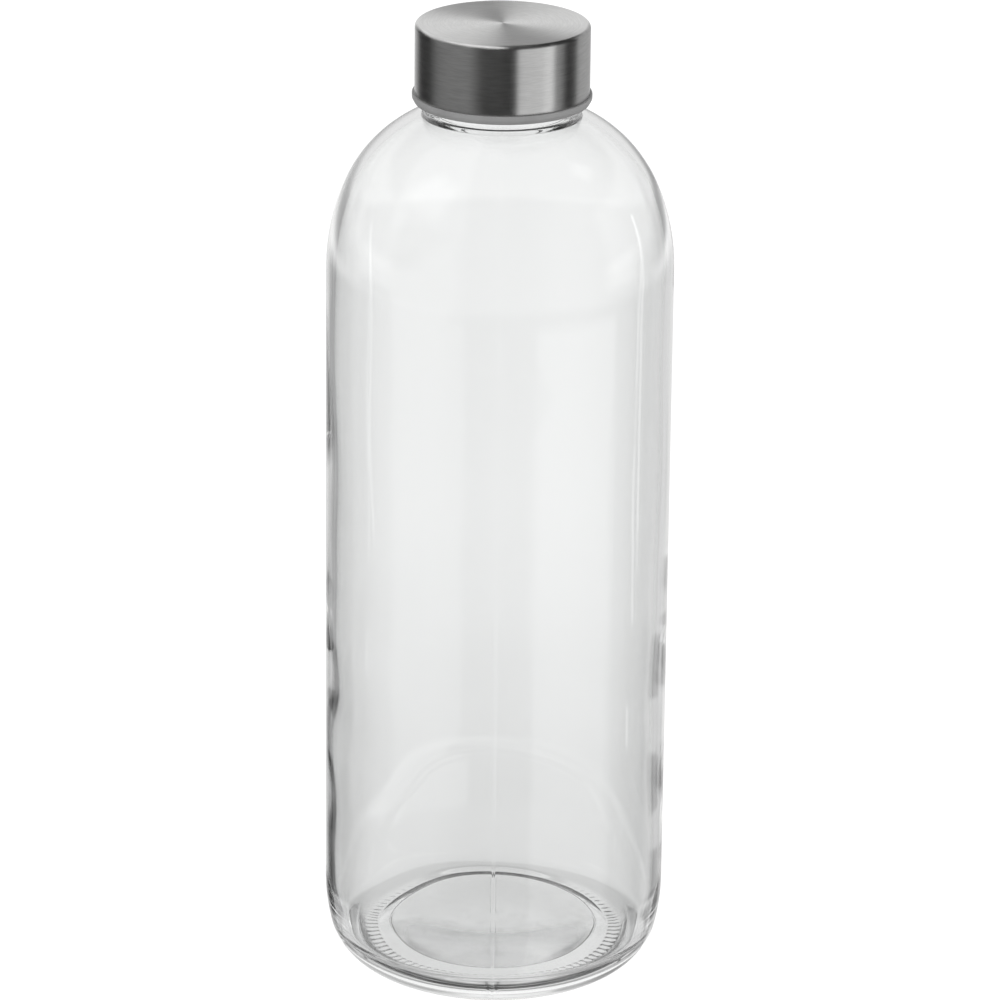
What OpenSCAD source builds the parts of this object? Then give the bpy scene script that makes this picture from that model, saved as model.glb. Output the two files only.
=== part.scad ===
// One-litre glass water bottle with a two-part screw cap.
// +Z runs up the bottle's axis, the origin is the centre of the base on the resting plane,
// and the front mould seam lies towards -Y. All sizes are in millimetres.

/* [Glass body] */
// Outer diameter of the straight body
body_d = 86; // [80:0.5:92]
// Height at which the straight body ends and the shoulder begins
body_top_z = 184.3; // [150:0.1:210]
// Wall thickness of the straight body
wall_t = 2.4; // [2:0.1:3]
// Thickness of the glass at the middle of the base
floor_t = 10.8; // [9:0.1:12]
// Height of the push-up under the middle of the base
push_up_h = 1.6; // [1.5:0.1:3]
// Radius of the push-up's edge
push_up_r = 25; // [24:0.1:26]
// Height of the push-up's edge
push_up_edge_z = 1.3; // [0.8:0.1:1.5]

/* [Heel and shoulder] */
// Radius of the heel's lower arc
heel_r = 13.5; // [12:0.1:15]
// Radius of the long arc that blends the heel into the body
heel_blend_r = 47.5; // [40:0.5:60]
// Sweep of the heel's blend arc in degrees
heel_blend_a = 13.6; // [10:0.1:18]
// Radius of the shoulder's upper arc
shoulder_r = 34.9; // [34:0.1:36]
// Radius of the long arc that blends the body into the shoulder
shoulder_blend_r = 52.6; // [50:0.1:55]
// Sweep of the shoulder's blend arc in degrees
shoulder_blend_a = 22.8; // [21:0.1:24]

/* [Neck finish] */
// Diameter over the thread's crest
thread_d = 37.5; // [37.2:0.05:37.6]
// Diameter of the neck between the threads
neck_d = 35.1; // [34.6:0.1:35.3]
// Diameter of the bore in the neck
bore_d = 29; // [26:0.5:30]
// Distance between neighbouring turns of the thread
pitch = 4.2333; // [4.2:0.0001:4.27]
// Number of turns of the thread
thread_turns = 1.5; // [1:0.25:1.5]
// Diameter of the rounded bead under the thread
bead_d = 39.2; // [38.6:0.1:40]
// Height of the sealing rim above the body's straight part
rim_above_body = 58.2; // [58:0.1:59]

/* [Cap] */
// Outer diameter of the steel shell
cap_d = 43; // [42.6:0.1:44]
// Height of the steel shell
cap_h = 17.4; // [17:0.1:18]
// Thickness of the steel sheet
sheet_t = 0.5; // [0.3:0.05:0.6]
// Diameter of the insert's flange under the shell
flange_d = 44.2; // [43.8:0.1:45]
// Height of the insert's flange
flange_h = 2.2; // [1.8:0.1:2.4]
// Clearance between the bottle's thread and the insert
thread_gap = 0.3; // [0.25:0.05:0.35]
// Thickness of the seal ring
seal_t = 1.9; // [1.5:0.1:2]

/* [Hidden] */

round_fn = 96;
arc_step = 4;
small_arc_step = 15;
helix_step = 7.5;

body_r = body_d / 2;
// The bearing ring cuts the heel's arc a little above its lowest point
bearing_cut = 0.3;
body_bottom_z = heel_r + (heel_blend_r - heel_r) * sin(heel_blend_a) - bearing_cut;
heel_blend_x = body_r - heel_blend_r;
heel_x = heel_blend_x + (heel_blend_r - heel_r) * cos(heel_blend_a);
heel_z = heel_r - bearing_cut;
push_up_step = 3.9;
bearing_inner_r = push_up_r + push_up_step;

shoulder_blend_x = body_r - shoulder_blend_r;
shoulder_x = shoulder_blend_x + (shoulder_blend_r - shoulder_r) * cos(shoulder_blend_a);
shoulder_z = body_top_z + (shoulder_blend_r - shoulder_r) * sin(shoulder_blend_a);

rim_z = body_top_z + rim_above_body;
neck_r = neck_d / 2;
bore_r = bore_d / 2;
bead_r = bead_d / 2;
thread_r = thread_d / 2;
// A small fillet turns the shoulder up into the groove under the bead
groove_depth = 0.4;
groove_r = bead_r - groove_depth;
groove_fillet = 1.2;
groove_x = groove_r + groove_fillet;
groove_z = arc_z(shoulder_x, shoulder_z, shoulder_r + groove_fillet, groove_x);
bead_h = 1.7;
bead_round = 0.7;
bead_under_a = -30;
rim_round = 0.9;

floor_z = push_up_h + floor_t;
floor_flat_r = 14;
heel_floor_z = 8.6;
inner_r = body_r - wall_t;
inner_heel_r = 3;
inner_heel_blend_r = 48;
inner_heel_blend_a = 14.4;
inner_heel_x = inner_r - inner_heel_blend_r + (inner_heel_blend_r - inner_heel_r) * cos(inner_heel_blend_a);
inner_heel_z = heel_floor_z + inner_heel_r;
inner_wall_z = inner_heel_z + (inner_heel_blend_r - inner_heel_r) * sin(inner_heel_blend_a);
inner_blend_r = shoulder_blend_r - wall_t;
inner_shoulder_r = shoulder_r - wall_t;
throat_round = 4;
throat_step = 10;
throat_x = bore_r + throat_round;
throat_z = arc_z(shoulder_x, shoulder_z, inner_shoulder_r + throat_round, throat_x);

thread_start_z = rim_z - 9;
thread_root_h = 2.7;
thread_crest_h = 1.1;
thread_bury = 0.5;
thread_lead_in = 45;
thread_end_fade = 0.15;

insert_top_t = 1.5;
cap_bottom_z = rim_z + seal_t + insert_top_t + sheet_t - cap_h;
cap_top_z = cap_bottom_z + cap_h;
shell_r = cap_d / 2;
shell_edge_r = 1;
insert_gap = 0.05;
insert_r = shell_r - sheet_t - insert_gap;
insert_bore_r = thread_r + thread_gap;
insert_crest_r = neck_r + thread_gap;
insert_top_z = cap_top_z - sheet_t;
insert_ceiling_z = rim_z + seal_t;
insert_chamfer = 0.8;
flange_r = flange_d / 2;
flange_bottom_z = cap_bottom_z - flange_h;
flange_wall_h = 1.2;
flange_taper = 0.5;
boss_gap = 1.1;
boss_r = bore_r - boss_gap;
boss_drop = 1;
seal_gap = 0.1;
seal_inner_r = boss_r + seal_gap;
seal_outer_r = insert_bore_r - seal_gap;
seal_round = 0.3;
insert_thread_turns = 1.25;
insert_thread_root_h = 2.2;
insert_thread_crest_h = 0.8;

// Height of a circle of radius r about (x0, z0) at distance x from the axis
function arc_z(x0, z0, r, x) = z0 + sqrt(r * r - (x - x0) * (x - x0));

// Points on a circle of radius r about (x0, z0), from angle a0 to angle a1
function arc(x0, z0, r, a0, a1, step = arc_step) =
    let (n = max(1, ceil(abs(a1 - a0) / step)))
    [for (i = [0:n]) let (a = a0 + (a1 - a0) * i / n) [x0 + r * cos(a), z0 + r * sin(a)]];

// The same points without neighbours that coincide
function distinct(points) =
    [for (i = [0:len(points) - 1]) if (i == 0 || norm(points[i] - points[i - 1]) > 0.001) points[i]];

// The same points in the opposite order
function reversed(points) = [for (i = [len(points) - 1:-1:0]) points[i]];

// Outline of a shallow dome of radius r, from its middle on the axis to its edge
function dome(r, z_mid, z_edge, n) =
    [for (i = [0:n]) let (t = i / n) [r * t, z_mid + (z_edge - z_mid) * t * t]];

// Outline of the inner floor from its flat middle out to the low ring in the heel, in a half wave
function floor_line(n) =
    [for (i = [0:n]) let (t = i / n)
        [floor_flat_r + (inner_heel_x - floor_flat_r) * t,
         heel_floor_z + (floor_z - heel_floor_z) * (0.5 + 0.5 * cos(180 * t))]];

// Cross-section of a thread ridge at angle a, from inside the wall out to the crest:
// it fades out over the lead-in at both ends
function ridge_section(r_root, r_crest, h_root, h_crest, a, total, z0) =
    let (fade = sin(90 * min(1, min(a, total - a) / thread_lead_in)),
         r = r_root + (r_crest - r_root) * max(thread_end_fade, fade),
         z = z0 + pitch * a / 360,
         bury = sign(r_root - r_crest) * thread_bury)
    [[r_root + bury, z - h_root / 2], [r, z - h_crest / 2],
     [r, z + h_crest / 2], [r_root + bury, z + h_root / 2]];

// Helical ridge that stands out of a wall of radius r_root as far as r_crest
module ridge(r_root, r_crest, h_root, h_crest, turns, z0) {
    total = turns * 360;
    n = round(total / helix_step);
    outward = r_crest > r_root;
    sections = [for (i = [0:n]) ridge_section(r_root, r_crest, h_root, h_crest, i * total / n, total, z0)];
    m = len(sections[0]);
    points = [for (i = [0:n]) let (a = i * total / n)
        for (p = sections[i]) [p[0] * cos(a), p[0] * sin(a), p[1]]];
    start_cap = [[for (j = [0:m - 1]) j]];
    end_cap = [[for (j = [m - 1:-1:0]) n * m + j]];
    sides = [for (i = [0:n - 1], j = [0:m - 1]) let (k = (j + 1) % m, a = i * m, b = (i + 1) * m)
        each [[a + j, b + j, b + k], [a + j, b + k, a + k]]];
    faces = concat(start_cap, end_cap, sides);
    polyhedron(points, outward ? [for (f = faces) reversed(f)] : faces);
}

module glass_outline() {
    cut_a = -90 + acos(heel_z / heel_r);
    groove_a = acos((groove_x - shoulder_x) / (shoulder_r + groove_fillet));
    throat_a = acos((throat_x - shoulder_x) / (inner_shoulder_r + throat_round));
    polygon(distinct(concat(
        dome(push_up_r, push_up_h, push_up_edge_z, 10),
        [[bearing_inner_r, 0]],
        arc(heel_x, heel_z, heel_r, cut_a, -heel_blend_a),
        arc(heel_blend_x, body_bottom_z, heel_blend_r, -heel_blend_a, 0),
        arc(shoulder_blend_x, body_top_z, shoulder_blend_r, 0, shoulder_blend_a),
        arc(shoulder_x, shoulder_z, shoulder_r, shoulder_blend_a, groove_a),
        arc(groove_x, groove_z, groove_fillet, 180 + groove_a, 180, small_arc_step),
        arc(bead_r - bead_round, groove_z + bead_round, bead_round,
            bead_under_a, 0, small_arc_step),
        arc(bead_r - bead_round, groove_z + bead_h - bead_round, bead_round, 0, 90, small_arc_step),
        [[neck_r, groove_z + bead_h]],
        arc(neck_r - rim_round, rim_z - rim_round, rim_round, 0, 90, small_arc_step),
        arc(bore_r + rim_round, rim_z - rim_round, rim_round, 90, 180, small_arc_step),
        arc(throat_x, throat_z, throat_round, 180, 180 + throat_a, throat_step),
        arc(shoulder_x, shoulder_z, inner_shoulder_r, throat_a, shoulder_blend_a),
        arc(shoulder_blend_x, body_top_z, inner_blend_r, shoulder_blend_a, 0),
        arc(inner_r - inner_heel_blend_r, inner_wall_z, inner_heel_blend_r, 0, -inner_heel_blend_a),
        arc(inner_heel_x, inner_heel_z, inner_heel_r, -inner_heel_blend_a, -90, small_arc_step),
        reversed(floor_line(8)),
        [[0, floor_z]]
    )));
}

module glass_bottle() {
    color("aliceblue", 0.35) union() {
        rotate_extrude($fn = round_fn) glass_outline();
        ridge(neck_r, thread_r, thread_root_h, thread_crest_h, thread_turns, thread_start_z);
    }
}

module seal_ring() {
    color("whitesmoke") rotate_extrude($fn = round_fn)
        polygon([
            [seal_inner_r + seal_round, rim_z],
            [seal_outer_r - seal_round, rim_z],
            [seal_outer_r, rim_z + seal_round],
            [seal_outer_r, insert_ceiling_z],
            [seal_inner_r, insert_ceiling_z],
            [seal_inner_r, rim_z + seal_round]
        ]);
}

module cap_insert() {
    color("gray") union() {
        rotate_extrude($fn = round_fn)
            polygon([
                [0, insert_ceiling_z - boss_drop],
                [boss_r, insert_ceiling_z - boss_drop],
                [boss_r, insert_ceiling_z],
                [insert_bore_r, insert_ceiling_z],
                [insert_bore_r, flange_bottom_z],
                [flange_r - flange_taper, flange_bottom_z],
                [flange_r, cap_bottom_z - flange_wall_h],
                [flange_r, cap_bottom_z],
                [insert_r, cap_bottom_z],
                [insert_r, insert_top_z - insert_chamfer],
                [insert_r - insert_chamfer, insert_top_z],
                [0, insert_top_z]
            ]);
        translate([0, 0, -pitch / 2])
            ridge(insert_bore_r, insert_crest_r, insert_thread_root_h, insert_thread_crest_h,
                  insert_thread_turns, thread_start_z);
    }
}

module cap_shell() {
    inner_edge_r = shell_edge_r - sheet_t;
    color("silver") rotate_extrude($fn = round_fn)
        polygon(concat(
            [[0, cap_top_z - sheet_t]],
            arc(shell_r - shell_edge_r, cap_top_z - shell_edge_r, inner_edge_r, 90, 0, small_arc_step),
            [[shell_r - sheet_t, cap_bottom_z], [shell_r, cap_bottom_z]],
            arc(shell_r - shell_edge_r, cap_top_z - shell_edge_r, shell_edge_r, 0, 90, small_arc_step),
            [[0, cap_top_z]]
        ));
}

glass_bottle();
seal_ring();
cap_insert();
cap_shell();
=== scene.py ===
"""A clear glass water bottle with a brushed-steel screw cap, in a white studio.

Every piece is a lathe-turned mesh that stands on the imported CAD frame: its heights and radii come
from the CAD boxes, and the arcs of the profile have the same radii as the CAD model. Lengths in the
profiles are in millimetres and become metres when a mesh is made.
"""
import math

import bpy
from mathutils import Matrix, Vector


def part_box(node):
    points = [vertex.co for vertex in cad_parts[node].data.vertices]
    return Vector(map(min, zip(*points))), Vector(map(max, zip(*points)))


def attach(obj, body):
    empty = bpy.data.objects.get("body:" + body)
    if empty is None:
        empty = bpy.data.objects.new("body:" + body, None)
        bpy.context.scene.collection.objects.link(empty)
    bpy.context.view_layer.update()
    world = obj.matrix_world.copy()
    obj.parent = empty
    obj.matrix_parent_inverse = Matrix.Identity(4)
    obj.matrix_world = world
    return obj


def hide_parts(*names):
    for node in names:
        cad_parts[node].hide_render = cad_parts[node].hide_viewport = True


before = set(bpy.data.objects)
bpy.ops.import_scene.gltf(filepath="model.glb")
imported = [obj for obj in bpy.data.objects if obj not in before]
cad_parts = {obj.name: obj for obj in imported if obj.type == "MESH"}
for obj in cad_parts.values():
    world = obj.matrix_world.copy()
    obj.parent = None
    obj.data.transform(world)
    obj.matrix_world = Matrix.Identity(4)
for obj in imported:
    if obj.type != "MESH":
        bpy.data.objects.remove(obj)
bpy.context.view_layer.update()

MM = 0.001
MICRON = 1e-3  # in the profiles' millimetres


# ---------------------------------------------------------------- sizes from the frame

def top(node):
    """The height of a CAD node's highest point, in millimetres."""
    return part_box(node)[1].z / MM


def bottom(node):
    """The height of a CAD node's lowest point, in millimetres."""
    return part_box(node)[0].z / MM


def radius(node):
    """The outer radius of a round CAD node, in millimetres."""
    low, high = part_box(node)
    return round((high.x - low.x) / 2 / MM, 1)


BODY_R = radius("glass_bottle")
RIM_Z = top("glass_bottle")
CAP_TOP = top("cap_shell")
CAP_BOTTOM = bottom("cap_shell")
SHELL_R = radius("cap_shell")
FLANGE_R = radius("cap_insert")
FLANGE_BOTTOM = bottom("cap_insert")
INSERT_TOP = top("cap_insert")
SEAL_TOP = top("seal_ring")
SEAL_R = radius("seal_ring")

# The bottle's design sizes, as in the CAD model, in millimetres and degrees
WALL = 2.4
HEEL_R, HEEL_BLEND_R, HEEL_BLEND_A = 13.5, 47.5, 13.6
SHOULDER_R, SHOULDER_BLEND_R, SHOULDER_BLEND_A = 34.9, 52.6, 22.8
BEARING_CUT = 0.3
PUSH_UP_R, PUSH_UP_H, PUSH_UP_EDGE_Z, PUSH_UP_STEP = 25.0, 1.6, 1.3, 3.9
FLOOR_Z, FLOOR_FLAT_R, HEEL_FLOOR_Z = 12.4, 14.0, 8.6
INNER_HEEL_R, INNER_HEEL_BLEND_R, INNER_HEEL_BLEND_A = 3.0, 48.0, 14.4
THROAT_ROUND = 4.0
NECK_R, BORE_R, THREAD_R, BEAD_R = 17.55, 14.5, 18.75, 19.6
PITCH = 25.4 / 6
THREAD_TURNS = 1.5
THREAD_START = RIM_Z - 9.0
INSERT_THREAD_TURNS = 1.25
THREAD_GAP = 0.3
GROOVE_DEPTH, GROOVE_FILLET = 0.4, 1.2
BEAD_ROUND, BEAD_H, RIM_ROUND = 0.7, 1.7, 0.9
BODY_TOP_Z = RIM_Z - 58.2
SHEET = 0.5


# ---------------------------------------------------------------- profiles

def arc(x0, z0, r, a0, a1, step):
    """Points on a circle about (x0, z0), from angle a0 to a1 in degrees."""
    n = max(1, math.ceil(abs(a1 - a0) / step))
    angles = [math.radians(a0 + (a1 - a0) * i / n) for i in range(n + 1)]
    return [(x0 + r * math.cos(a), z0 + r * math.sin(a)) for a in angles]


def line(start, end, step):
    """Points from start to end, about step apart."""
    n = max(1, math.ceil(math.dist(start, end) / step))
    return [(start[0] + (end[0] - start[0]) * i / n, start[1] + (end[1] - start[1]) * i / n)
            for i in range(n + 1)]


def circle_z(x0, z0, r, x):
    """The height of a circle about (x0, z0) at distance x from the axis."""
    return z0 + math.sqrt(r * r - (x - x0) ** 2)


def dome(r, z_mid, z_edge, n):
    """A shallow dome from the axis out to radius r."""
    return [(r * i / n, z_mid + (z_edge - z_mid) * (i / n) ** 2) for i in range(n + 1)]


def half_wave(r0, r1, z0, z1, n):
    """A line from (r0, z0) to (r1, z1) that starts and ends level."""
    return [(r0 + (r1 - r0) * i / n, z1 + (z0 - z1) * (0.5 + 0.5 * math.cos(math.pi * i / n)))
            for i in range(n + 1)]


def stretch(kind, points):
    """Points of one kind of surface, such as the outer wall."""
    return [(r, z, kind) for r, z in points]


def distinct(points):
    """The points, leaving out each one that is within a micron of the one before it."""
    kept = points[:1]
    for p in points[1:]:
        if math.dist(p[:2], kept[-1][:2]) > MICRON:
            kept.append(p)
    return kept


def smooth_piece(name, verts, faces):
    """An object in the scene with a smooth-shaded mesh."""
    mesh = bpy.data.meshes.new(name)
    mesh.from_pydata(verts, [], faces)
    mesh.polygons.foreach_set("use_smooth", [True] * len(faces))
    mesh.update()
    piece = bpy.data.objects.new(name, mesh)
    bpy.context.scene.collection.objects.link(piece)
    return piece


def turned(name, profile, columns, shift=None):
    """A closed lathe mesh, and the kind of surface of each face. profile runs from axis to axis, columns are
    the angles round it, and shift moves a point outwards and up."""
    body = profile[1:-1]
    verts = [(0, 0, profile[0][1] * MM)]
    for r, z, kind in body:
        for a in columns:
            dr, dz = shift(a, r, z, kind) if shift else (0, 0)
            verts.append(((r + dr) * math.cos(a) * MM, (r + dr) * math.sin(a) * MM, (z + dz) * MM))
    verts.append((0, 0, profile[-1][1] * MM))
    n, m = len(columns), len(body)
    last = len(verts) - 1
    faces = [(0, 1 + (j + 1) % n, 1 + j) for j in range(n)]
    kinds = [body[0][2]] * n
    for i in range(m - 1):
        for j in range(n):
            k = (j + 1) % n
            faces.append((1 + i * n + j, 1 + i * n + k, 1 + (i + 1) * n + k, 1 + (i + 1) * n + j))
            kinds.append(body[i + 1][2])
    end = 1 + (m - 1) * n
    faces += [(last, end + j, end + (j + 1) % n) for j in range(n)]
    kinds += [body[-1][2]] * n
    return smooth_piece(name, verts, faces), kinds


def ring(name, section, columns):
    """A closed ring mesh turned from a closed section."""
    verts = [(r * math.cos(a) * MM, r * math.sin(a) * MM, z * MM) for r, z in section for a in columns]
    n, m = len(columns), len(section)
    faces = [(i * n + j, i * n + (j + 1) % n, (i + 1) % m * n + (j + 1) % n, (i + 1) % m * n + j)
             for i in range(m) for j in range(n)]
    return smooth_piece(name, verts, faces)


def even_columns(n):
    """n equal steps round the axis."""
    return [2 * math.pi * i / n for i in range(n)]


def bump(x, width):
    """A smooth bump of height 1 at x = 0 that ends at distance width."""
    return 0.5 + 0.5 * math.cos(math.pi * x / width) if abs(x) < width else 0.0


def clamped(x):
    """x, kept between 0 and 1."""
    return min(1, max(0, x))


def angle_between(a, b):
    """The angle from one direction to another, from 0 to pi."""
    return abs((a - b + math.pi) % (2 * math.pi) - math.pi)


# ---------------------------------------------------------------- the glass

GLASS_COLUMNS = 360
SEAM_ANGLES = (-math.pi / 2, math.pi / 2)
SEAM_COLUMNS = (0.22, 0.44, 0.67)  # the extra columns on each side of a mould seam, in degrees from it
SEAM_HALF_WIDTH = 0.45
SEAM_HEIGHT = 0.14
MARK_HALF_WIDTH = 0.2
MARK_HEIGHT = 0.14
MARK_RUN_UP = 0.5
TICKS = 90
TICK_HEIGHT = 0.18
TICK_FADE = 0.4
TICK_RING = (28.6, 32.4)
LEAD_IN = math.radians(45)
RIDGE = (2.3, 1.1)  # how high the thread's ridge is at its root and at its crest
# The drifts of the blown inner wall: their size, how many run round the bottle, their phase, and the
# height over which they turn by one radian
WALL_DRIFTS = ((0.11, 2, -1.1, 35), (0.05, 3, 0.5, -14), (0.035, 5, 1.7, 9))
WALL_LEAN, SETTLE_WAVE = 0.16, 0.11
SETTLE_Z, SETTLE_SPREAD = 62.0, 34.0
WAVE_FADE = 14.0
WAVE_BELOW_RIM = 22.0


def glass_columns():
    """Equal steps, with a few more on each side of the two mould seams."""
    extra = [s + side * math.radians(d) for s in SEAM_ANGLES for side in (-1, 1) for d in SEAM_COLUMNS]
    return sorted(a % (2 * math.pi) for a in even_columns(GLASS_COLUMNS) + extra)


def underside():
    """The shallow push-up, the fine ring that the mould's base plate left at its edge, and the step down."""
    fall = PUSH_UP_EDGE_Z / PUSH_UP_STEP
    foot, step = [(PUSH_UP_R + d, PUSH_UP_EDGE_Z - d * fall) for d in (MARK_HALF_WIDTH, 2 * MARK_HALF_WIDTH)]
    mark = [(PUSH_UP_R - MARK_RUN_UP, PUSH_UP_EDGE_Z), (PUSH_UP_R - MARK_HALF_WIDTH, PUSH_UP_EDGE_Z),
            (PUSH_UP_R, PUSH_UP_EDGE_Z + MARK_HEIGHT), foot]
    return (dome(PUSH_UP_R, PUSH_UP_H, PUSH_UP_EDGE_Z, 8)[:-1] + mark
            + line(step, (PUSH_UP_R + PUSH_UP_STEP, 0), 0.7))


def glass_profile():
    """The outline of the glass, from the push-up round the outside, over the rim and down inside. The last
    number of each arc and line is the step between its points, in degrees or in millimetres."""
    heel_a, shoulder_a = math.radians(HEEL_BLEND_A), math.radians(SHOULDER_BLEND_A)
    heel_blend_x = BODY_R - HEEL_BLEND_R
    heel_x = heel_blend_x + (HEEL_BLEND_R - HEEL_R) * math.cos(heel_a)
    heel_z = HEEL_R - BEARING_CUT
    body_z = heel_z + (HEEL_BLEND_R - HEEL_R) * math.sin(heel_a)
    blend_x = BODY_R - SHOULDER_BLEND_R
    shoulder_x = blend_x + (SHOULDER_BLEND_R - SHOULDER_R) * math.cos(shoulder_a)
    shoulder_z = BODY_TOP_Z + (SHOULDER_BLEND_R - SHOULDER_R) * math.sin(shoulder_a)
    groove_x = BEAD_R - GROOVE_DEPTH + GROOVE_FILLET
    groove_z = circle_z(shoulder_x, shoulder_z, SHOULDER_R + GROOVE_FILLET, groove_x)
    groove_a = math.degrees(math.acos((groove_x - shoulder_x) / (SHOULDER_R + GROOVE_FILLET)))
    bead_x, bead_top = BEAD_R - BEAD_ROUND, groove_z + BEAD_H
    inner_r, inner_blend, inner_shoulder = BODY_R - WALL, SHOULDER_BLEND_R - WALL, SHOULDER_R - WALL
    throat_x = BORE_R + THROAT_ROUND
    throat_z = circle_z(shoulder_x, shoulder_z, inner_shoulder + THROAT_ROUND, throat_x)
    throat_a = math.degrees(math.acos((throat_x - shoulder_x) / (inner_shoulder + THROAT_ROUND)))
    inner_heel_a = math.radians(INNER_HEEL_BLEND_A)
    inner_blend_x = inner_r - INNER_HEEL_BLEND_R
    inner_heel_x = inner_blend_x + (INNER_HEEL_BLEND_R - INNER_HEEL_R) * math.cos(inner_heel_a)
    inner_heel_z = HEEL_FLOOR_Z + INNER_HEEL_R
    inner_wall_z = inner_heel_z + (INNER_HEEL_BLEND_R - INNER_HEEL_R) * math.sin(inner_heel_a)
    cut_a = -math.degrees(math.asin(heel_z / HEEL_R))
    push_up_rim = PUSH_UP_R + PUSH_UP_STEP
    heel_end = (heel_x + HEEL_R * math.cos(math.radians(cut_a)), 0)
    return distinct(
        stretch("base", underside())
        + stretch("bearing", line((push_up_rim, 0), heel_end, 0.4))
        + stretch("heel", arc(heel_x, heel_z, HEEL_R, cut_a, -HEEL_BLEND_A, 3.5))
        + stretch("wall", arc(heel_blend_x, body_z, HEEL_BLEND_R, -HEEL_BLEND_A, 0, 3.4))
        + stretch("wall", line((BODY_R, body_z), (BODY_R, BODY_TOP_Z), 8))
        + stretch("wall", arc(blend_x, BODY_TOP_Z, SHOULDER_BLEND_R, 0, SHOULDER_BLEND_A, 3))
        + stretch("wall", arc(shoulder_x, shoulder_z, SHOULDER_R, SHOULDER_BLEND_A, groove_a, 3))
        + stretch("neck", arc(groove_x, groove_z, GROOVE_FILLET, 180 + groove_a, 180, 15))
        + stretch("neck", arc(bead_x, groove_z + BEAD_ROUND, BEAD_ROUND, -30, 0, 15))
        + stretch("neck", arc(bead_x, bead_top - BEAD_ROUND, BEAD_ROUND, 0, 90, 18))
        + stretch("neck", line((bead_x, bead_top), (NECK_R, bead_top), 0.6))
        + stretch("thread", line((NECK_R, bead_top), (NECK_R, RIM_Z - RIM_ROUND), 0.44))
        + stretch("neck", arc(NECK_R - RIM_ROUND, RIM_Z - RIM_ROUND, RIM_ROUND, 0, 90, 18))
        + stretch("inside", arc(BORE_R + RIM_ROUND, RIM_Z - RIM_ROUND, RIM_ROUND, 90, 180, 18))
        + stretch("inside", line((BORE_R, RIM_Z - RIM_ROUND), (BORE_R, throat_z), 3))
        + stretch("inside", arc(throat_x, throat_z, THROAT_ROUND, 180, 180 + throat_a, 10))
        + stretch("inside", arc(shoulder_x, shoulder_z, inner_shoulder, throat_a, SHOULDER_BLEND_A, 3))
        + stretch("inside", arc(blend_x, BODY_TOP_Z, inner_blend, SHOULDER_BLEND_A, 0, 3))
        + stretch("inside", line((inner_r, BODY_TOP_Z), (inner_r, inner_wall_z), 4.2))
        + stretch("inside", arc(inner_blend_x, inner_wall_z, INNER_HEEL_BLEND_R, 0, -INNER_HEEL_BLEND_A, 1.8))
        + stretch("inside", arc(inner_heel_x, inner_heel_z, INNER_HEEL_R, -INNER_HEEL_BLEND_A, -90, 12))
        + stretch("inside", half_wave(inner_heel_x, FLOOR_FLAT_R, HEEL_FLOOR_Z, FLOOR_Z, 12))
        + stretch("inside", line((FLOOR_FLAT_R, FLOOR_Z), (0, FLOOR_Z), 3))
    )


def ridge_height(a, z, start, turns, ridge):
    """How far, from 0 to 1, a helical thread ridge stands out at angle a and height z."""
    root_h, crest_h = ridge
    total = turns * 2 * math.pi
    height = 0.0
    for turn in range(int(turns) + 1):
        along = a + turn * 2 * math.pi
        if along > total:
            continue
        off = abs(z - (start + PITCH * along / (2 * math.pi)))
        flank = (root_h / 2 - off) / ((root_h - crest_h) / 2)
        fade = math.sin(math.pi / 2 * min(1, min(along, total - along) / LEAD_IN))
        height = max(height, clamped(flank) * fade)
    return height


def wall_wave(a, z):
    """How far the blown inner wall stands in from its even radius: one broad lean, the drifts on it, and the
    finer waves where the glass settled low down. They fade out towards the floor and the neck."""
    lean = WALL_LEAN * math.sin(a + 0.7) * math.sin(z / 60 + 0.4)
    drifts = sum(size * math.sin(round_count * a + phase + z / rise)
                 for size, round_count, phase, rise in WALL_DRIFTS)
    settle = SETTLE_WAVE * math.sin(z / 5.2 + 2 * a) * math.exp(-((z - SETTLE_Z) / SETTLE_SPREAD) ** 2)
    ends = clamped((z - FLOOR_Z) / WAVE_FADE) * clamped((RIM_Z - WAVE_BELOW_RIM - z) / WAVE_FADE)
    return (lean + drifts + settle) * ends


def glass_shift(a, r, z, kind):
    """The glass's departures from a plain lathe shape at one point, outwards and up."""
    if kind == "thread":
        return (THREAD_R - NECK_R) * ridge_height(a, z, THREAD_START, THREAD_TURNS, RIDGE), 0
    if kind == "inside":
        return -wall_wave(a, z), 0
    if kind in ("bearing", "heel") and r < TICK_RING[1]:
        ends = min(1, (r - TICK_RING[0]) / TICK_FADE, (TICK_RING[1] - r) / TICK_FADE)
        return 0, TICK_HEIGHT * (0.5 - 0.5 * math.cos(TICKS * a)) * max(0, ends)
    if kind in ("wall", "heel", "base"):
        seam = max(bump(angle_between(a, s) * r, SEAM_HALF_WIDTH) for s in SEAM_ANGLES)
        return (SEAM_HEIGHT * seam, 0) if kind != "base" else (0, -min(z, SEAM_HEIGHT) * seam)
    return 0, 0


# ---------------------------------------------------------------- the cap

CAP_COLUMNS = 256
SEAL_COLUMNS = 160
SHELL_EDGE = 1.0
INSERT_FIT = 0.05
INSERT_RIDGE = (1.8, 0.8)
BOSS_GAP, BOSS_DROP = 1.1, 1.0


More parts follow.
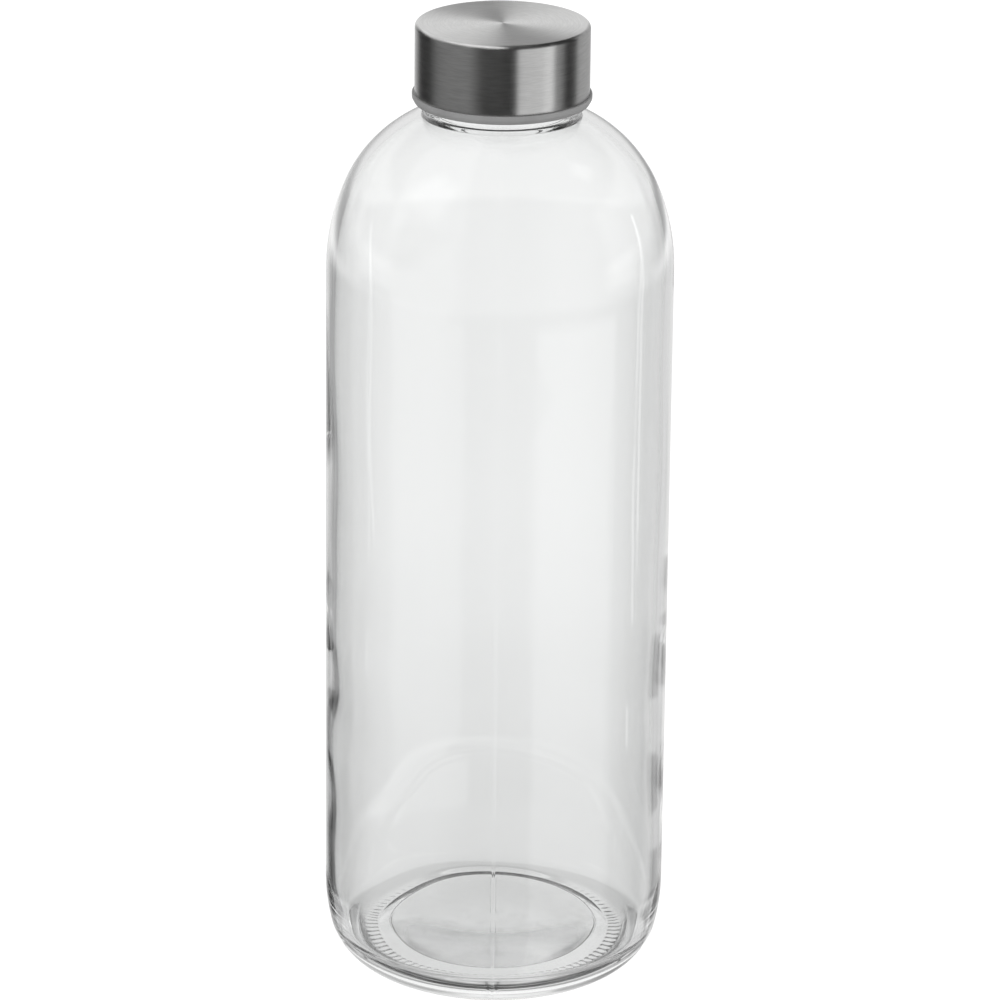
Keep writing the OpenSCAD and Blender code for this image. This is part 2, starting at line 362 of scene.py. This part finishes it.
def shell_profile():
    """The steel cup: a flat spun top, a small rounded edge, a side and a deburred lower edge."""
    burr = 0.12
    x, z = SHELL_R - SHELL_EDGE, CAP_TOP - SHELL_EDGE
    return distinct(
        stretch("inner", line((0, CAP_TOP - SHEET), (x, CAP_TOP - SHEET), 5))
        + stretch("inner", arc(x, z, SHELL_EDGE - SHEET, 90, 0, 15))
        + stretch("inner", line((SHELL_R - SHEET, z), (SHELL_R - SHEET, CAP_BOTTOM + burr), 4))
        + stretch("edge", arc(SHELL_R - SHEET + burr, CAP_BOTTOM + burr, burr, 180, 270, 30))
        + stretch("edge", arc(SHELL_R - burr, CAP_BOTTOM + burr, burr, 270, 360, 30))
        + stretch("side", line((SHELL_R, CAP_BOTTOM + burr), (SHELL_R, z), 2))
        + stretch("side", arc(x, z, SHELL_EDGE, 0, 90, 7.5))
        + stretch("side", line((x, CAP_TOP), (0, CAP_TOP), 2))
    )


def insert_profile():
    """The plastic cup with its flange, from the middle of its ceiling down inside and up outside."""
    ceiling, bore, boss = SEAL_TOP, THREAD_R + THREAD_GAP, BORE_R - BOSS_GAP
    boss_end = ceiling - BOSS_DROP
    wall_r = SHELL_R - SHEET - INSERT_FIT
    soft, taper, chamfer = 0.2, 0.5, 0.8
    lean, side_low, side_high = 0.04, CAP_BOTTOM - 1.2, CAP_BOTTOM - 1.0
    return distinct(
        stretch("plain", line((0, boss_end), (boss, boss_end), 4))
        + stretch("plain", line((boss, boss_end), (boss, ceiling), 0.5))
        + stretch("plain", line((boss, ceiling), (bore, ceiling), 2))
        + stretch("thread", line((bore, ceiling), (bore, FLANGE_BOTTOM + soft), 0.36))
        + stretch("plain", arc(bore + soft, FLANGE_BOTTOM + soft, soft, 180, 270, 30))
        + stretch("plain", line((bore + soft, FLANGE_BOTTOM), (FLANGE_R - taper - soft, FLANGE_BOTTOM), 1))
        + stretch("plain", arc(FLANGE_R - taper - soft, FLANGE_BOTTOM + soft, soft, 270, 335, 20))
        + stretch("plain", line((FLANGE_R - lean, side_low), (FLANGE_R, side_high), 0.2))
        + stretch("plain", arc(FLANGE_R - soft, CAP_BOTTOM - soft, soft, 0, 90, 22))
        + stretch("plain", line((FLANGE_R - soft, CAP_BOTTOM), (wall_r, CAP_BOTTOM), 0.5))
        + stretch("plain", line((wall_r, CAP_BOTTOM), (wall_r, INSERT_TOP - chamfer), 4))
        + stretch("plain", line((wall_r, INSERT_TOP - chamfer), (wall_r - chamfer, INSERT_TOP), 2))
        + stretch("plain", line((wall_r - chamfer, INSERT_TOP), (0, INSERT_TOP), 5))
    )


def insert_shift(a, r, z, kind):
    """The insert's inner thread, half a pitch below the bottle's."""
    if kind != "thread":
        return 0, 0
    ridge = ridge_height(a, z, THREAD_START - PITCH / 2, INSERT_THREAD_TURNS, INSERT_RIDGE)
    return -(THREAD_R - NECK_R) * ridge, 0


def seal_section():
    """The seal ring's section, with rounded corners. It ends a little inside the neck's bore."""
    inside_bore, soft = 1.0, 0.35
    inner = BORE_R - inside_bore
    corners = ((SEAL_R - soft, RIM_Z + soft, 270), (SEAL_R - soft, SEAL_TOP - soft, 0),
               (inner + soft, SEAL_TOP - soft, 90), (inner + soft, RIM_Z + soft, 180))
    points = []
    for x, z, a in corners:
        points += arc(x, z, soft, a, a + 90, 22.5)
    return distinct(points)


# ---------------------------------------------------------------- materials

GLASS_IOR = 1.52
# The worn band low on the outside, in metres: where it sets in and where it fades out
WORN_START, WORN_END = (0.0002, 0.0005), (0.0006, 0.005)
NOISE_RANGE, NOISE_CORE = (0.3, 0.7), (0.35, 0.65)  # the values that a noise mostly keeps to
FINE_BRUSHING, COARSE_BRUSHING = (5200, 6.5, 3), (1700, 3.2, 2)  # scale across, scale along, detail


def new_material(name):
    """An empty node material: the material, its tree and its Principled shader."""
    mat = bpy.data.materials.new(name)
    mat.use_nodes = True
    return mat, mat.node_tree, mat.node_tree.nodes["Principled BSDF"]


def node(tree, kind, **values):
    """A node of a kind, with its properties and the values of its named inputs set."""
    made = tree.nodes.new(kind)
    for key, value in values.items():
        if hasattr(made, key):
            setattr(made, key, value)
        else:
            made.inputs[key.replace("_", " ")].default_value = value
    return made


def feed(tree, socket, value):
    """Sets an input socket to a plain number, or links an output socket to it."""
    if isinstance(value, (int, float)):
        socket.default_value = value
    else:
        tree.links.new(value, socket)


def math_node(tree, operation, a, b=None):
    """The output of a Math node on sockets or plain numbers."""
    made = node(tree, "ShaderNodeMath", operation=operation)
    feed(tree, made.inputs[0], a)
    if b is not None:
        feed(tree, made.inputs[1], b)
    return made.outputs[0]


def mixed(tree, factor, a, b):
    """The value a where factor is 0 and b where it is 1. Both may be sockets or plain numbers."""
    made = tree.nodes.new("ShaderNodeMix")
    tree.links.new(factor, made.inputs[0])
    feed(tree, made.inputs[2], a)
    feed(tree, made.inputs[3], b)
    return made.outputs[0]


def mapped(tree, value, low, high, to_low, to_high, smooth=False):
    """value moved from the range low..high to to_low..to_high, and kept inside it."""
    made = node(tree, "ShaderNodeMapRange", interpolation_type="SMOOTHSTEP" if smooth else "LINEAR",
                From_Min=low, From_Max=high, To_Min=to_low, To_Max=to_high)
    tree.links.new(value, made.inputs["Value"])
    return made.outputs["Result"]


def noise(tree, vector, scale, detail=2.0):
    """Noise of a scale over a vector socket."""
    made = node(tree, "ShaderNodeTexNoise", Scale=scale, Detail=detail)
    tree.links.new(vector, made.inputs["Vector"])
    return made.outputs["Fac"]


def colour_between(tree, factor, dark, light):
    """A colour that goes from dark to light with factor."""
    made = node(tree, "ShaderNodeMix", data_type="RGBA")
    made.inputs[6].default_value = (*dark, 1)
    made.inputs[7].default_value = (*light, 1)
    tree.links.new(factor, made.inputs[0])
    return made.outputs[2]


def bumped(tree, shader, height, strength, distance):
    """Feeds a height into the shader's normal as a bump."""
    made = node(tree, "ShaderNodeBump", Strength=strength, Distance=distance)
    tree.links.new(height, made.inputs["Height"])
    tree.links.new(made.outputs["Normal"], shader.inputs["Normal"])


def object_place(tree):
    """The place of a point in the shared frame, in metres."""
    return tree.nodes.new("ShaderNodeTexCoord").outputs["Object"]


def xyz(tree, vector):
    """The three parts of a vector socket."""
    split = tree.nodes.new("ShaderNodeSeparateXYZ")
    tree.links.new(vector, split.inputs[0])
    return split.outputs


def axis_distance(tree, x, y):
    """How far a point is from the bottle's axis."""
    squares = math_node(tree, "ADD", math_node(tree, "MULTIPLY", x, x), math_node(tree, "MULTIPLY", y, y))
    return math_node(tree, "SQRT", squares)


def clear_glass(name, edge_grey, worn_base=False):
    """Soda-lime glass with a faint orange peel. Light that crosses it at a grazing angle is dimmed to
    edge_grey. With worn_base the lowest few millimetres are a little matte, except for the plane that the
    bottle stands on."""
    mat, tree, shader = new_material(name)
    shader.inputs["Transmission Weight"].default_value = 1
    shader.inputs["IOR"].default_value = GLASS_IOR
    shader.inputs["Roughness"].default_value = 0
    place = object_place(tree)
    facing = node(tree, "ShaderNodeLayerWeight", Blend=0.5).outputs["Facing"]
    streak = node(tree, "ShaderNodeMapping", Scale=(1, 1, 0.25))
    tree.links.new(place, streak.inputs["Vector"])
    cloud = noise(tree, streak.outputs["Vector"], 28, 1)
    tint = math_node(tree, "MULTIPLY", mapped(tree, facing, 0.35, 1.0, 1, edge_grey, smooth=True),
                     mapped(tree, cloud, *NOISE_RANGE, 0.936, 0.958))
    tree.links.new(colour_between(tree, tint, (0, 0, 0), (0.995, 1, 0.998)), shader.inputs["Base Color"])
    bumped(tree, shader, noise(tree, place, 110, 0), 0.03, 0.0004)
    if worn_base:
        z = xyz(tree, place)[2]
        low = mapped(tree, z, *WORN_END, 1, 0, smooth=True)
        worn = math_node(tree, "MULTIPLY", low, mapped(tree, z, *WORN_START, 0, 1))
        grit = mapped(tree, noise(tree, place, 420, 2), *NOISE_CORE, 0.05, 0.22)
        tree.links.new(math_node(tree, "MULTIPLY", worn, grit), shader.inputs["Roughness"])
    return mat


def brushed_steel():
    """Stainless sheet brushed round the axis: fine and coarse lines along the brushing, and soft patches."""
    mat, tree, shader = new_material("brushed_steel")
    shader.inputs["Metallic"].default_value = 1
    shader.inputs["Anisotropic"].default_value = 0.92
    shader.inputs["Anisotropic Rotation"].default_value = 0.25
    tangent = node(tree, "ShaderNodeTangent", direction_type="RADIAL", axis="Z")
    tree.links.new(tangent.outputs[0], shader.inputs["Tangent"])
    x, y, z = xyz(tree, object_place(tree))
    across = math_node(tree, "ADD", axis_distance(tree, x, y), z)
    angle = math_node(tree, "ARCTAN2", y, x)
    cosine, sine = math_node(tree, "COSINE", angle), math_node(tree, "SINE", angle)

    def lines(across_scale, along_scale, detail):
        """Noise drawn out along the brushing."""
        join = tree.nodes.new("ShaderNodeCombineXYZ")
        tree.links.new(math_node(tree, "MULTIPLY", across, across_scale), join.inputs[0])
        tree.links.new(math_node(tree, "MULTIPLY", cosine, along_scale), join.inputs[1])
        tree.links.new(math_node(tree, "MULTIPLY", sine, along_scale), join.inputs[2])
        return noise(tree, join.outputs[0], 1, detail)

    fine, coarse = lines(*FINE_BRUSHING), lines(*COARSE_BRUSHING)
    patch = noise(tree, object_place(tree), 90, 2)
    grain = math_node(tree, "ADD", math_node(tree, "MULTIPLY", fine, 0.6),
                      math_node(tree, "MULTIPLY", coarse, 0.4))
    tree.links.new(colour_between(tree, mapped(tree, grain, *NOISE_CORE, 0, 1),
                                  (0.54, 0.54, 0.535), (0.67, 0.67, 0.665)), shader.inputs["Base Color"])
    rough = math_node(tree, "ADD", mapped(tree, grain, *NOISE_CORE, 0.29, 0.33),
                      mapped(tree, patch, *NOISE_RANGE, -0.015, 0.015))
    tree.links.new(rough, shader.inputs["Roughness"])
    bumped(tree, shader, grain, 0.07, 0.00004)
    return mat


def grey_plastic():
    """Moulded polypropylene with a fine matte grain and faint flow marks."""
    mat, tree, shader = new_material("grey_plastic")
    place = object_place(tree)
    flow = noise(tree, place, 120, 3)
    tree.links.new(colour_between(tree, mapped(tree, flow, *NOISE_RANGE, 0, 1),
                                  (0.27, 0.27, 0.27), (0.33, 0.33, 0.33)), shader.inputs["Base Color"])
    grit = noise(tree, place, 900, 2)
    tree.links.new(mapped(tree, grit, *NOISE_RANGE, 0.48, 0.6), shader.inputs["Roughness"])
    shader.inputs["Specular IOR Level"].default_value = 0.4
    bumped(tree, shader, noise(tree, place, 4200, 2), 0.15, 0.00004)
    return mat


def silicone():
    """Milky silicone rubber with a soft sheen and a dusting of fine pits."""
    mat, tree, shader = new_material("silicone")
    place = object_place(tree)
    cloud, pits = noise(tree, place, 160, 2), noise(tree, place, 1500, 2)
    tree.links.new(colour_between(tree, mapped(tree, cloud, *NOISE_RANGE, 0, 1),
                                  (0.72, 0.72, 0.7), (0.8, 0.8, 0.78)), shader.inputs["Base Color"])
    tree.links.new(mapped(tree, pits, *NOISE_RANGE, 0.42, 0.56), shader.inputs["Roughness"])
    shader.inputs["Subsurface Weight"].default_value = 0.25
    shader.inputs["Subsurface Radius"].default_value = (0.001, 0.001, 0.001)
    bumped(tree, shader, noise(tree, place, 5000, 2), 0.1, 0.00003)
    return mat


# ---------------------------------------------------------------- pieces

def make_glass():
    """The bottle itself, with one material outside and one on the blown inner wall."""
    piece, kinds = turned("bottle_glass", glass_profile(), glass_columns(), glass_shift)
    piece.data.materials.append(clear_glass("clear_glass", 1.0, worn_base=True))
    piece.data.materials.append(clear_glass("clear_glass_inside", 0.96))
    piece.data.polygons.foreach_set("material_index", [1 if k == "inside" else 0 for k in kinds])
    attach(piece, "bottle")
    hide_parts("glass_bottle")


def make_shell():
    """The cap's steel cup."""
    shell, _ = turned("steel_cap", shell_profile(), even_columns(CAP_COLUMNS))
    shell.data.materials.append(brushed_steel())
    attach(shell, "cap")
    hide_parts("cap_shell")


def make_insert():
    """The cap's threaded plastic cup."""
    insert, _ = turned("threaded_insert", insert_profile(), even_columns(CAP_COLUMNS), insert_shift)
    insert.data.materials.append(grey_plastic())
    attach(insert, "cap")
    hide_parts("cap_insert")


def make_seal():
    """The ring between the insert and the neck's rim."""
    seal = ring("silicone_seal", seal_section(), even_columns(SEAL_COLUMNS))
    seal.data.materials.append(silicone())
    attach(seal, "seal")
    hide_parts("seal_ring")


# ---------------------------------------------------------------- studio

# Soft panels round the bottle: the azimuths and elevations of their edges in degrees, how soft
# those edges are, and how bright the panel is. Azimuth 0 is towards the camera, 90 to its right.
# A negative brightness dims the panels that it overlaps. Clear glass mirrors one set of them, and
# brushed or matte surfaces the other.
CLEAR_PANELS = (
    # az from, az to, az softness, el from, el to, el softness, brightness
    (25, 84, 4, -80, -17.7, 0.15, 0.45),
    (-100, -30, 34, -30, -14, 3, 0.33),
    (107, 109.5, 1.5, -20.5, 10, 1, 1.3),
    (-180, 180, 1, -100, -28, 4, 0.7),
    (124, 232, 16, -30, -12, 4, 0.3),
    (150, 205, 34, -30, -12, 4, 0.45),
    (122, 152, 8, -26, -12, 3, 0.2),
    (-159, -151, 3, -30, -14, 2, -0.2),
    (-166, -144, 4, -32, -21.5, 1.5, -0.3),
    (136, 158, 5, -32, -21.8, 0.8, -0.3),
    (-180, 180, 1, -15, 95, 4, 0.36),
    (78, 282, 12, -3, 28, 8, 0.42),
    (-90, -50, 16, 31, 58, 14, 0.6),
    (98, 116, 8, 42, 54, 6, 0.5),
    (76, 102, 14, -10, 1, 6, 0.6),
    (-108, -76, 14, -10, 1, 6, 0.6),
)
SOFT_PANELS = (
    (20, 72, 3, -80, 4, 6, 0.95),
    (60, 88, 14, -80, 4, 6, 0.4),
    (-101, -36, 26, -80, 30, 8, 0.2),
    (114, 200, 6, -90, 30, 10, 0.45),
    (168, 216, 18, -90, 30, 10, 0.45),
    (186, 262, 14, 26, 82, 12, 0.95),
    (-110, 6, 10, 42, 89, 10, 1.5),
    (80, 180, 20, 70, 92, 12, 0.3),
)
STUDIO_DARK = 0.035  # the room between the panels
STUDIO_HAZE = 0.9  # what lights matte surfaces from all round
SEEN_WHITE = 1.05  # the backdrop, seen directly or through the glass
LIGHT_BOUNCES = 64
# The table, in metres. Seen through the glass it carries a painted shadow: it is darker close to the bottle's
# axis, and once more in the ring where the heel would shade it.
TABLE_HALF_SIZE = 12.0
TABLE_GAP = 0.00004
TABLE_WHITE = 1.02
TABLE_THROUGH_GLASS = 0.98
TABLE_SHADOW_NEAR_BASE = 0.8
TABLE_FADE = (0.01, 0.36)
HEEL_SHADE = 0.82
HEEL_SHADE_RADIUS = 0.038
HEEL_SHADE_FADE = (0.002, 0.006)
# The camera, in metres and degrees. Its lens is given as a multiple of the sensor's width.
SENSOR_WIDTH = 36
CAMERA_DISTANCE = 1.407
CAMERA_HEIGHT = 0.6362
CAMERA_PITCH = 20.05
CAMERA_ROLL = 0.646
CAMERA_ASIDE = 0.0006
LENS_PER_SENSOR = 5.977


def pale_table():
    """A white with a painted shadow where it is seen through the glass: a little dimmer close to the bottle's
    axis and in a ring under the heel. It is clear to mirrored rays and from below."""
    mat, tree, shader = new_material("pale_table")
    shader.inputs["Base Color"].default_value = (0.12, 0.12, 0.12, 1)
    shader.inputs["Roughness"].default_value = 0.9
    shader.inputs["Specular IOR Level"].default_value = 0
    shader.inputs["Emission Color"].default_value = (1, 1, 1, 1)
    path = tree.nodes.new("ShaderNodeLightPath")
    x, y, _ = xyz(tree, object_place(tree))
    away = axis_distance(tree, x, y)
    # painted shadow: the table seen through the glass is dimmer near the bottle's axis and in a ring under
    # the heel
    broad = mapped(tree, away, *TABLE_FADE, TABLE_SHADOW_NEAR_BASE, TABLE_THROUGH_GLASS, smooth=True)
    off_heel = math_node(tree, "ABSOLUTE", math_node(tree, "SUBTRACT", away, HEEL_SHADE_RADIUS))
    heel = mapped(tree, off_heel, *HEEL_SHADE_FADE, HEEL_SHADE, 1, smooth=True)
    painted_shadow = math_node(tree, "MULTIPLY", broad, heel)
    through = math_node(tree, "MINIMUM", path.outputs["Transmission Depth"], 1)
    tree.links.new(mixed(tree, through, TABLE_WHITE, painted_shadow), shader.inputs["Emission Strength"])
    clear = tree.nodes.new("ShaderNodeBsdfTransparent")
    choose = tree.nodes.new("ShaderNodeMixShader")
    mirrored = math_node(tree, "GREATER_THAN", path.outputs["Glossy Depth"], 0.5)
    beneath = tree.nodes.new("ShaderNodeNewGeometry").outputs["Backfacing"]
    tree.links.new(math_node(tree, "MAXIMUM", mirrored, beneath), choose.inputs[0])
    tree.links.new(shader.outputs[0], choose.inputs[1])
    tree.links.new(clear.outputs[0], choose.inputs[2])
    tree.links.new(choose.outputs[0], tree.nodes["Material Output"].inputs["Surface"])
    return mat


def make_floor():
    """A wide table a hair below the bottle. The glass and the metal mirror the studio's panels instead."""
    mesh = bpy.data.meshes.new("table")
    corners = [(TABLE_HALF_SIZE * x, TABLE_HALF_SIZE * y, -TABLE_GAP)
               for x, y in ((-1, -1), (1, -1), (1, 1), (-1, 1))]
    mesh.from_pydata(corners, [], [(0, 1, 2, 3)])
    floor = bpy.data.objects.new("table", mesh)
    bpy.context.scene.collection.objects.link(floor)
    mesh.materials.append(pale_table())
    floor.visible_glossy = False


def panel_light(tree, azimuth, elevation, panel):
    """How bright one soft panel is in a direction."""
    az0, az1, az_soft, el0, el1, el_soft, bright = panel
    middle, half = (az0 + az1) / 2, (az1 - az0) / 2
    turn = math_node(tree, "SUBTRACT", azimuth, middle)
    around = math_node(tree, "FLOORED_MODULO", math_node(tree, "ADD", turn, 180), 360)
    off = math_node(tree, "ABSOLUTE", math_node(tree, "SUBTRACT", around, 180))
    side = mapped(tree, off, half - az_soft / 2, half + az_soft / 2, 1, 0, smooth=True)
    low = mapped(tree, elevation, el0 - el_soft / 2, el0 + el_soft / 2, 0, 1, smooth=True)
    high = mapped(tree, elevation, el1 - el_soft / 2, el1 + el_soft / 2, 1, 0, smooth=True)
    both = math_node(tree, "MULTIPLY", low, high)
    return math_node(tree, "MULTIPLY", math_node(tree, "MULTIPLY", side, both), bright)


def panels_light(tree, azimuth, elevation, panels):
    """How bright a set of panels and the dim room behind them are in a direction."""
    light = STUDIO_DARK
    for panel in panels:
        light = math_node(tree, "ADD", panel_light(tree, azimuth, elevation, panel), light)
    return light


def make_world():
    """White behind everything that is seen directly or through the glass, and soft panels in a dim room
    for what is mirrored."""
    world = bpy.data.worlds.new("studio")
    world.use_nodes = True
    tree = world.node_tree
    background = tree.nodes["Background"]
    background.inputs["Color"].default_value = (1, 1, 1, 1)
    x, y, z = xyz(tree, tree.nodes.new("ShaderNodeTexCoord").outputs["Generated"])
    toward = math_node(tree, "MULTIPLY", y, -1)
    azimuth = math_node(tree, "DEGREES", math_node(tree, "ARCTAN2", x, toward))
    elevation = math_node(tree, "DEGREES", math_node(tree, "ARCSINE", z))
    clear = panels_light(tree, azimuth, elevation, CLEAR_PANELS)
    soft = panels_light(tree, azimuth, elevation, SOFT_PANELS)
    path = tree.nodes.new("ShaderNodeLightPath")
    light = mixed(tree, path.outputs["Is Singular Ray"], soft, clear)
    straight = math_node(tree, "LESS_THAN", path.outputs["Glossy Depth"], 0.5)
    direct = math_node(tree, "MAXIMUM", path.outputs["Is Camera Ray"], path.outputs["Is Transmission Ray"])
    seen = math_node(tree, "MULTIPLY", straight, direct)
    lit = mixed(tree, path.outputs["Is Diffuse Ray"], light, STUDIO_HAZE)
    tree.links.new(mixed(tree, seen, lit, SEEN_WHITE), background.inputs["Strength"])
    world.cycles.sampling_method = "NONE"
    bpy.context.scene.world = world


def make_camera():
    """The camera stands in front of the bottle, looks down on it and leans by a fraction of a degree."""
    data = bpy.data.cameras.new("camera")
    data.sensor_width = SENSOR_WIDTH
    data.lens = LENS_PER_SENSOR * SENSOR_WIDTH
    data.clip_start, data.clip_end = 0.05, 60
    camera = bpy.data.objects.new("camera", data)
    camera.location = (CAMERA_ASIDE, -CAMERA_DISTANCE, CAMERA_HEIGHT)
    look = Vector((0, math.cos(math.radians(CAMERA_PITCH)), -math.sin(math.radians(CAMERA_PITCH))))
    camera.rotation_euler = look.to_track_quat("-Z", "Y").to_euler()
    camera.rotation_euler.rotate_axis("Z", math.radians(CAMERA_ROLL))
    bpy.context.scene.collection.objects.link(camera)
    bpy.context.scene.camera = camera


def set_light_paths():
    """Room for the many bounces inside a double glass wall, and an untouched white."""
    scene = bpy.context.scene
    scene.view_settings.view_transform = "Standard"
    scene.cycles.max_bounces = LIGHT_BOUNCES
    scene.cycles.transmission_bounces = LIGHT_BOUNCES
    scene.cycles.glossy_bounces = LIGHT_BOUNCES


make_camera()
set_light_paths()
make_world()
make_floor()
make_glass()
make_shell()
make_insert()
make_seal()
